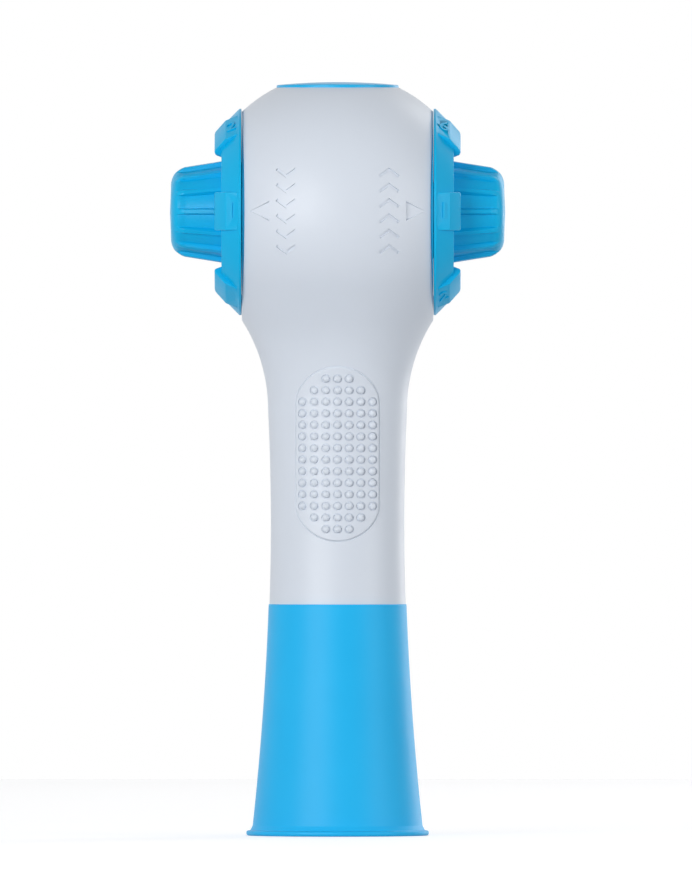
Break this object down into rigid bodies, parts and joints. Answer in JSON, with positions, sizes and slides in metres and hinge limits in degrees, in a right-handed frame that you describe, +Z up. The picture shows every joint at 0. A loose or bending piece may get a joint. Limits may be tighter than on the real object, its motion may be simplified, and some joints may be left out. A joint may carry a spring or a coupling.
{
  "type": "breathing trainer",
  "caption": "Hand-held breathing trainer: ball head with a numbered resistance dial on each side, round handle with grip dots and a pull-off trumpet mouthpiece.",
  "frame": {"origin": "the middle of the flange's underside, where the trainer stands, under the middle of its box", "axes": "+Z up along the handle, X along the axis of the two dials with the exhale dial at +X, -Y the front"},
  "size_m": [0.0726, 0.0584, 0.1631],
  "materials": {
    "white_shell": "satin moulded ABS",
    "blue_plastic": "satin moulded plastic",
    "blue_silicone": "satin soft silicone",
    "clear_silicone": "milky soft silicone",
    "natural_plastic": "natural moulded plastic",
    "stainless_steel": "plain stainless steel"
  },
  "bodies": {
    "trainer": {"housing_front": "white_shell", "housing_rear": "white_shell", "top_cap": "blue_plastic", "air_duct": "blue_plastic", "spigot_o_ring": "clear_silicone", "inhale_valve_seat": "natural_plastic", "inhale_valve_pin": "natural_plastic", "inhale_port_plate": "blue_plastic", "inhale_port_seal": "clear_silicone", "inhale_arm_gasket": "clear_silicone", "inhale_click_ball": "stainless_steel", "inhale_click_spring": "stainless_steel", "exhale_valve_seat": "natural_plastic", "exhale_valve_pin": "natural_plastic", "exhale_port_plate": "blue_plastic", "exhale_port_seal": "clear_silicone", "exhale_arm_gasket": "clear_silicone", "exhale_click_ball": "stainless_steel", "exhale_click_spring": "stainless_steel"},
    "inhale_dial_set": {"inhale_dial": "blue_plastic", "inhale_dial_washer": "stainless_steel", "inhale_dial_screw": "stainless_steel"},
    "exhale_dial_set": {"exhale_dial": "blue_plastic", "exhale_dial_washer": "stainless_steel", "exhale_dial_screw": "stainless_steel"},
    "inhale_valve": {"inhale_valve_disc": "clear_silicone"},
    "exhale_valve": {"exhale_valve_disc": "clear_silicone"},
    "mouthpiece_body": {"mouthpiece": "blue_silicone"}
  },
  "joints": [
    {"name": "inhale_dial_turn", "type": "hinge", "parent": "trainer", "child": "inhale_dial_set", "pos_m": [-0.025, 0, 0.135], "axis": [-1, 0, 0], "continuous": true},
    {"name": "exhale_dial_turn", "type": "hinge", "parent": "trainer", "child": "exhale_dial_set", "pos_m": [0.025, 0, 0.135], "axis": [1, 0, 0], "continuous": true},
    {"name": "inhale_valve_lift", "type": "slide", "parent": "trainer", "child": "inhale_valve", "axis": [1, 0, 0], "range_m": [0, 0.0012]},
    {"name": "exhale_valve_lift", "type": "slide", "parent": "trainer", "child": "exhale_valve", "axis": [1, 0, 0], "range_m": [0, 0.0012]},
    {"name": "mouthpiece_pull", "type": "slide", "parent": "trainer", "child": "mouthpiece_body", "axis": [0, 0, -1], "range_m": [0, 0.03]}
  ]
}
